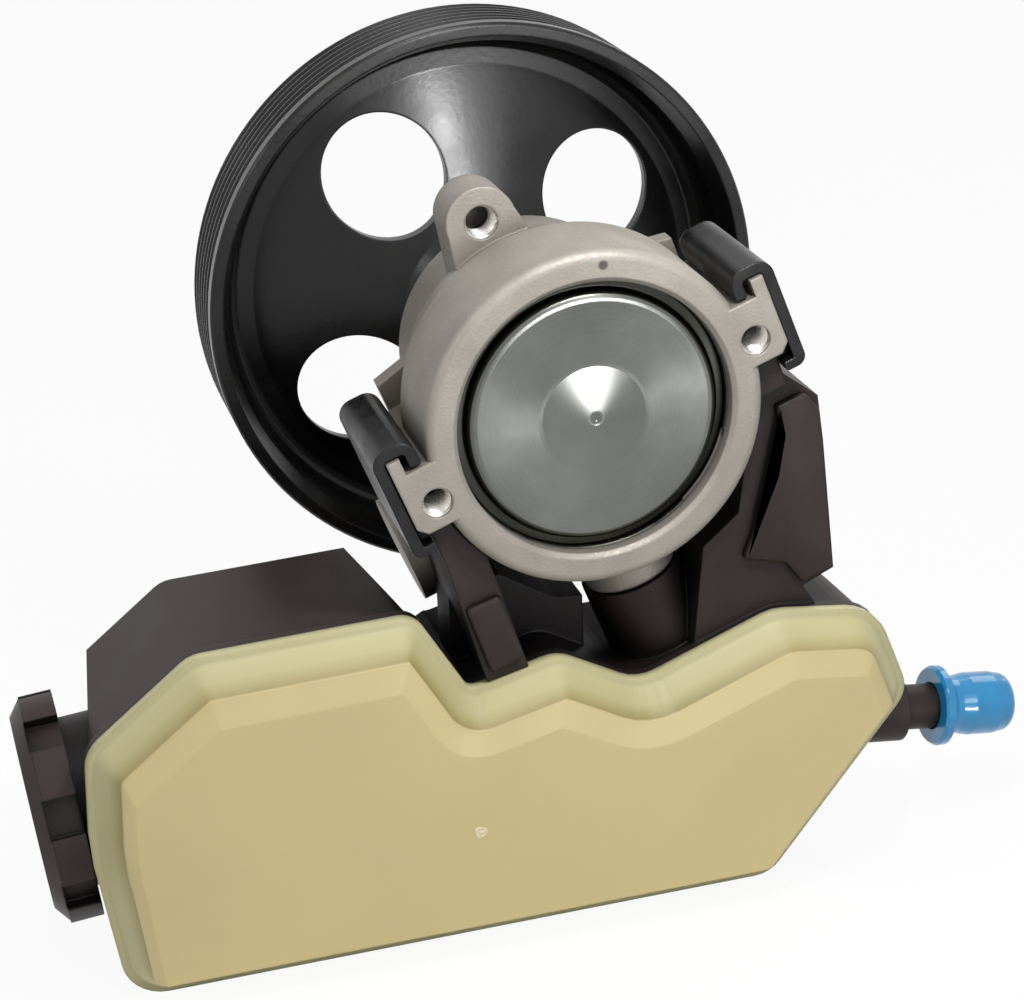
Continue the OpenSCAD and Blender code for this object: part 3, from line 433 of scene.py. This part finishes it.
def thread(name, mouth, inwards, radius, length, pitch, material):
    """Screw thread in a hole, as one ridge along a helix that fades out at both ends."""
    side = inwards.orthogonal().normalized()
    other = inwards.cross(side)
    steps = int(THREAD_STEPS * (length - 2 * pitch) / pitch)
    foot = radius + THREAD_SEAT
    points = []
    for i in range(steps + 1):
        turn = 2 * math.pi * i / THREAD_STEPS
        out = side * math.cos(turn) + other * math.sin(turn)
        fade = min(1, 2 * i / THREAD_STEPS, 2 * (steps - i) / THREAD_STEPS)
        along = pitch * (THREAD_START + i / THREAD_STEPS)
        crest = radius - THREAD_DEPTH * pitch * fade
        for reach, offset in ((foot, -THREAD_HALF_WIDTH), (crest, 0), (foot, THREAD_HALF_WIDTH)):
            points.append(mouth + out * reach + inwards * (along + offset * pitch))
    ends = [(2, 1, 0), (3 * steps, 3 * steps + 1, 3 * steps + 2)]
    piece(name, points, bands(steps + 1, 3) + ends, material)


BOLT_PITCH = 1.25 * MM
PORT_PITCH = 1.5 * MM
LUG_THREAD_LENGTH = 14 * MM
BOSS_THREAD_LENGTH = 9 * MM
PORT_THREAD_SHARE = 0.9


def threads():
    """Threads of both lugs, the top boss and the outlet, placed by the record's mounts."""
    lugs, boss, port = MOUNTS["rear_lugs"], MOUNTS["top_boss"], MOUNTS["outlet_port"]
    reach = lugs["dims"]["pcd_mm"] / 2 * MM
    lug_r = lugs["dims"]["hole_r_mm"] * MM
    for name, side in (("left", -1), ("right", 1)):
        thread(f"thread_{name}_lug", PUMP_X * reach * side, AHEAD, lug_r, LUG_THREAD_LENGTH, BOLT_PITCH,
               CUT_ALUMINIUM)
    boss_mouth = Vector(boss["pos_m"])
    boss_mouth.y = boss["pos_m"][1] - boss["dims"]["length_mm"] / 2 * MM
    thread("thread_top_boss", boss_mouth, AHEAD, boss["dims"]["r_mm"] * MM, BOSS_THREAD_LENGTH, BOLT_PITCH,
           CUT_ALUMINIUM)
    out = Vector(port["axis"])
    depth = port["dims"]["length_mm"] * MM
    thread("thread_outlet_port", Vector(port["pos_m"]) + out * depth / 2, -out, port["dims"]["r_mm"] * MM,
           depth * PORT_THREAD_SHARE, PORT_PITCH, FINISHES["zinc_steel"])


threads()

# The moulding stub's profile as (radius, y) in mm, from its foot to its middle, and how ragged it is
GATE_PROFILE = [(1.5, 0.02), (1.3, -0.14), (1.0, -0.18), (0.8, -0.06), (0.55, -0.05), (0.4, -0.22),
                (0.1, -0.26)]
GATE_STEPS = 24
GATE_RAGGED = 0.12
GATE_LOBES = 3
GATE_TWIST = 5


def gate_mark():
    """Stub that the moulding's feed leaves on the rear shell: a low ring about a broken-off centre."""
    points = []
    for radius, height in GATE_PROFILE:
        for i in range(GATE_STEPS):
            turn = 2 * math.pi * i / GATE_STEPS
            ragged = 1 + GATE_RAGGED * math.sin(GATE_LOBES * turn + GATE_TWIST * radius)
            reach = radius * ragged
            points.append(GATE_MARK + MM * Vector((reach * math.cos(turn), height, reach * math.sin(turn))))
    faces = capped_bands(len(GATE_PROFILE), GATE_STEPS)
    stub = piece("gate_mark", points, faces, TORN_PLASTIC)
    stub.data.shade_smooth()


gate_mark()

CORNER_STEPS = 5


def rounded(corners):
    """Points of a closed path of (x, z, corner radius), with a curve at each corner."""
    points = []
    for i, (x, z, radius) in enumerate(corners):
        here = Vector((x, z))
        before = (Vector(corners[i - 1][:2]) - here).normalized()
        after = (Vector(corners[(i + 1) % len(corners)][:2]) - here).normalized()
        half = before.angle(after) / 2
        start = here + before * radius / math.tan(half)
        end = here + after * radius / math.tan(half)
        for step in range(CORNER_STEPS + 1):
            share = step / CORNER_STEPS
            points.append(start * (1 - share) ** 2 + here * 2 * share * (1 - share) + end * share ** 2)
    return points


def slab(name, corners, near, back, edge, slot_name):
    """Plate across the shaft, from a path of (x, z, corner radius), with a rounded near edge; all in mm."""
    points = rounded(corners)
    shape = bmesh.new()
    face = shape.faces.new([shape.verts.new(MM * Vector((q.x, back, q.y))) for q in points])
    swept = bmesh.ops.extrude_face_region(shape, geom=[face])["geom"]
    front = [v for v in swept if isinstance(v, bmesh.types.BMVert)]
    for vertex in front:
        vertex.co.y = near * MM
    rim = [e for e in shape.edges if all(v in front for v in e.verts)]
    bmesh.ops.bevel(shape, geom=rim, offset=edge * MM, segments=3, profile=0.5, affect="EDGES")
    bmesh.ops.recalc_face_normals(shape, faces=shape.faces)
    obj = piece(name, [], [], FINISHES[slot_name])
    shape.to_mesh(obj.data)
    shape.free()
    obj.data.shade_smooth()
    obj.data.set_sharp_from_angle(angle=SLAB_CRISP_ANGLE)


# Near faces of the left pillar and the tower, the thickness of the plates on them, and how far these are sunk
PILLAR_NEAR = 4.0
TOWER_NEAR = 8.0
FOOT_THICKNESS = 1.6
PANEL_THICKNESS = 2
PLATE_SEAT = 0.1
FOOT_CORNERS = [(-30.6, -41, 1.5), (-22.8, -38.6, 1.5), (-17.6, -54.4, 2.2), (-25.4, -57.4, 1.2)]
PANEL_CORNERS = [(43.4, -5, 1), (50.4, -2.4, 2.5), (54, -7.4, 2), (54.6, -14.8, 2), (57.2, -46, 1.2),
                 (50, -49, 1), (45.8, -43.4, 2), (35.6, -40.8, 1), (43.2, -21.6, 3), (44.8, -12, 3)]
slab("pillar_foot", FOOT_CORNERS, PILLAR_NEAR - FOOT_THICKNESS, PILLAR_NEAR + PLATE_SEAT, 0.7, "dark_plastic")
slab("tower_panel", PANEL_CORNERS, TOWER_NEAR - PANEL_THICKNESS, TOWER_NEAR + PLATE_SEAT, 0.8, "dark_plastic")

# Corners of the rear shell's plateau as (x, z, corner radius, ridge's distance from the next side), in mm
PLATEAU = [(-107.2, -117.4, 3, 0.5), (38.2, -116.1, 1.5, 1.0), (68.2, -78.6, 1.5, 3.0),
           (62.6, -63.4, 4, 6.0), (43.2, -60.9, 5, 6.0), (9.2, -73.6, 15, 6.0),
           (-10.4, -63.3, 2.5, 5.5), (-33.6, -68.9, 8, 5.0), (-45.6, -48, 0.6, 6.5),
           (-89.2, -49.6, 1.5, 6.0), (-109.6, -65.4, 2, 2.5), (-110.6, -85, 30, 2.5)]
PANEL_SEAT = 0.05 * MM
LEAST_RADIUS = 0.5


def ridge_corners():
    """Corners of the ridge that runs inside the plateau's edge, each side at its own distance."""
    moved = []
    for i, (x, z, radius, after_gap) in enumerate(PLATEAU):
        here, before_gap = Vector((x, z)), PLATEAU[i - 1][3]
        before = (here - Vector(PLATEAU[i - 1][:2])).normalized()
        after = (Vector(PLATEAU[(i + 1) % len(PLATEAU)][:2]) - here).normalized()
        turn = before.x * after.y - before.y * after.x
        place = here + (before * after_gap - after * before_gap) / -turn
        moved.append((place.x, place.y, max(LEAST_RADIUS, radius - math.copysign(before_gap, turn))))
    return moved


def lid_panel():
    """Raised middle of the rear shell: a slope from the plateau's edge up to a ridge, and the flat inside."""
    foot, ridge = rounded([corner[:3] for corner in PLATEAU]), rounded(ridge_corners())
    points = [(MM * p.x, PLATEAU_Y + PANEL_SEAT, MM * p.y) for p in foot]
    points += [(MM * p.x, PLATEAU_Y - PANEL_RISE, MM * p.y) for p in ridge]
    piece("lid_panel", points, capped_bands(2, len(foot)), CRISP_PLASTIC)


lid_panel()

# The end cover's dome, in mm: its foot lies behind the cover's nearest point, its sides are nearly straight
DOME_FOOT = 1.4
DOME_R = 12.5
DOME_HEIGHT = 1.95
DOME_BOW = 1.2
DOME_SEAT = 0.02
DOME_RINGS = 14
DOME_STEPS = 96
DIMPLE_R = 1.3
DIMPLE = [(0.9, 0.1), (0.5, 0.32), (0.15, 0.38)]


def cover_dome():
    """Pressed dome in the middle of the end cover, from a crisp edge in to its dimple."""
    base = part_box("end_cover")[0].y + DOME_FOOT * MM
    radii = [DOME_R + (DIMPLE_R - DOME_R) * i / DOME_RINGS for i in range(DOME_RINGS + 1)]
    profile = [(radius, DOME_HEIGHT * (1 - (radius / DOME_R) ** DOME_BOW) - DOME_SEAT) for radius in radii]
    top = profile[-1][1]
    profile += [(radius, top - depth) for radius, depth in DIMPLE]
    points = []
    for radius, rise in profile:
        for k in range(DOME_STEPS):
            turn = 2 * math.pi * k / DOME_STEPS
            points.append((MM * radius * math.cos(turn), base - MM * rise, MM * radius * math.sin(turn)))
    faces = capped_bands(len(profile), DOME_STEPS)
    dome = piece("cover_dome", points, faces, FINISHES["zinc_steel"])
    dome.data.shade_smooth()


cover_dome()

# Camera, solved on the photograph's circles
PHOTO_WIDTH = 1024
FOCAL_PIXELS = 2500
CAMERA_RIGHT = (0.960894, -0.274087, -0.039477)
CAMERA_UP = (0.140647, 0.360257, 0.922189)
CAMERA_BACK = (-0.238538, -0.891679, 0.384719)
CAMERA_PLACE = (-0.148309, -0.480134, 0.191893)


def add_camera():
    """The scene's camera, at the photograph's viewing angle."""
    data = bpy.data.cameras.new("camera")
    data.sensor_fit = "HORIZONTAL"
    data.sensor_width = 36
    data.lens = FOCAL_PIXELS / PHOTO_WIDTH * data.sensor_width
    data.clip_start, data.clip_end = 0.01, 50
    camera = bpy.data.objects.new("camera", data)
    bpy.context.scene.collection.objects.link(camera)
    matrix = Matrix((CAMERA_RIGHT, CAMERA_UP, CAMERA_BACK)).transposed().to_4x4()
    matrix.translation = CAMERA_PLACE
    camera.matrix_world = matrix
    bpy.context.scene.camera = camera


add_camera()


# Light and floor
def lamp(name, place, target, size, watts):
    """Round soft lamp, aimed at a target."""
    data = bpy.data.lights.new(name, "AREA")
    data.shape, data.size, data.energy = "DISK", size, watts
    obj = bpy.data.objects.new(name, data)
    bpy.context.scene.collection.objects.link(obj)
    obj.location = place
    obj.rotation_mode = "QUATERNION"
    obj.rotation_quaternion = (target - Vector(place)).to_track_quat("-Z", "Y")
    return obj


MIDDLE = (CAD_BOX[0] + CAD_BOX[1]) / 2
COVER = Vector((0, 0, 0))
lamp("key", (0.1, -0.95, 0.95), MIDDLE, 0.7, 1.2)
lamp("above", (0.0, -0.2, 0.95), MIDDLE, 0.4, 3.0)
lamp("top", (0.02, -0.085, 0.135), COVER, 0.03, 0.26)
lamp("front", (0.35, -1.0, 0.58), MIDDLE, 0.36, 1.6)
# The low lamp shows in gloss only, as the fan of light on the end cover's dome
lamp("low", (0.30, -1.16, 0.0), COVER, 0.22, 4.2).visible_diffuse = False
lamp("rim", (0.7, 0.6, 0.7), MIDDLE, 0.6, 2)
lamp("side", (-0.9, -0.35, 0.5), MIDDLE, 0.22, 1.7)

AMBIENT = 0.27
FLOOR_SIZE = 30.0
FLOOR_GAP = 0.3 * MM
FLOOR_GREY = 0.92
FLOOR_GLOW = 0.93


def white_to_eye(tree):
    """1 for rays that show the background: from the camera, from gloss and through glass."""
    path = tree.nodes.new("ShaderNodeLightPath")
    total = path.outputs["Is Camera Ray"]
    for key in ("Is Glossy Ray", "Is Transmission Ray"):
        either = tree.nodes.new("ShaderNodeMath")
        either.operation = "MAXIMUM"
        tree.links.new(total, either.inputs[0])
        tree.links.new(path.outputs[key], either.inputs[1])
        total = either.outputs["Value"]
    return total


def add_world():
    """Even light from all round, behind which the background shows white."""
    world = bpy.data.worlds.new("studio")
    bpy.context.scene.world = world
    world.use_nodes = True
    tree = world.node_tree
    ambient = tree.nodes["Background"]
    ambient.inputs["Color"].default_value = (1, 1, 1, 1)
    ambient.inputs["Strength"].default_value = AMBIENT
    shown = tree.nodes.new("ShaderNodeBackground")
    shown.inputs["Color"].default_value = (1, 1, 1, 1)
    shown.inputs["Strength"].default_value = 1
    blend = tree.nodes.new("ShaderNodeMixShader")
    tree.links.new(white_to_eye(tree), blend.inputs["Fac"])
    tree.links.new(ambient.outputs["Background"], blend.inputs[1])
    tree.links.new(shown.outputs["Background"], blend.inputs[2])
    tree.links.new(blend.outputs["Shader"], tree.nodes["World Output"].inputs["Surface"])


def floor_paint():
    """Matt pale paint that glows most of the way to white, and keeps the object's shadow."""
    material = bpy.data.materials.new("floor")
    material.use_nodes = True
    tree = material.node_tree
    paint = tree.nodes["Principled BSDF"]
    paint.inputs["Base Color"].default_value = (FLOOR_GREY, FLOOR_GREY, FLOOR_GREY, 1)
    paint.inputs["Roughness"].default_value = 0.9
    paint.inputs["Specular IOR Level"].default_value = 0.0
    glow = tree.nodes.new("ShaderNodeEmission")
    glow.inputs["Strength"].default_value = 1
    share = tree.nodes.new("ShaderNodeMath")
    share.operation = "MULTIPLY"
    share.inputs[1].default_value = FLOOR_GLOW
    tree.links.new(white_to_eye(tree), share.inputs[0])
    blend = tree.nodes.new("ShaderNodeMixShader")
    tree.links.new(share.outputs["Value"], blend.inputs["Fac"])
    tree.links.new(paint.outputs["BSDF"], blend.inputs[1])
    tree.links.new(glow.outputs["Emission"], blend.inputs[2])
    tree.links.new(blend.outputs["Shader"], tree.nodes["Material Output"].inputs["Surface"])
    return material


def floor():
    """Plain floor just under the part."""
    low = CAD_BOX[0].z - FLOOR_GAP
    sides = ((-1, -1), (1, -1), (1, 1), (-1, 1))
    mesh = bpy.data.meshes.new("floor")
    mesh.from_pydata([(x * FLOOR_SIZE, y * FLOOR_SIZE, low) for x, y in sides], [], [(0, 1, 2, 3)])
    mesh.materials.append(floor_paint())
    obj = bpy.data.objects.new("floor", mesh)
    bpy.context.scene.collection.objects.link(obj)


add_world()
floor()
bpy.context.scene.view_settings.view_transform = "Standard"
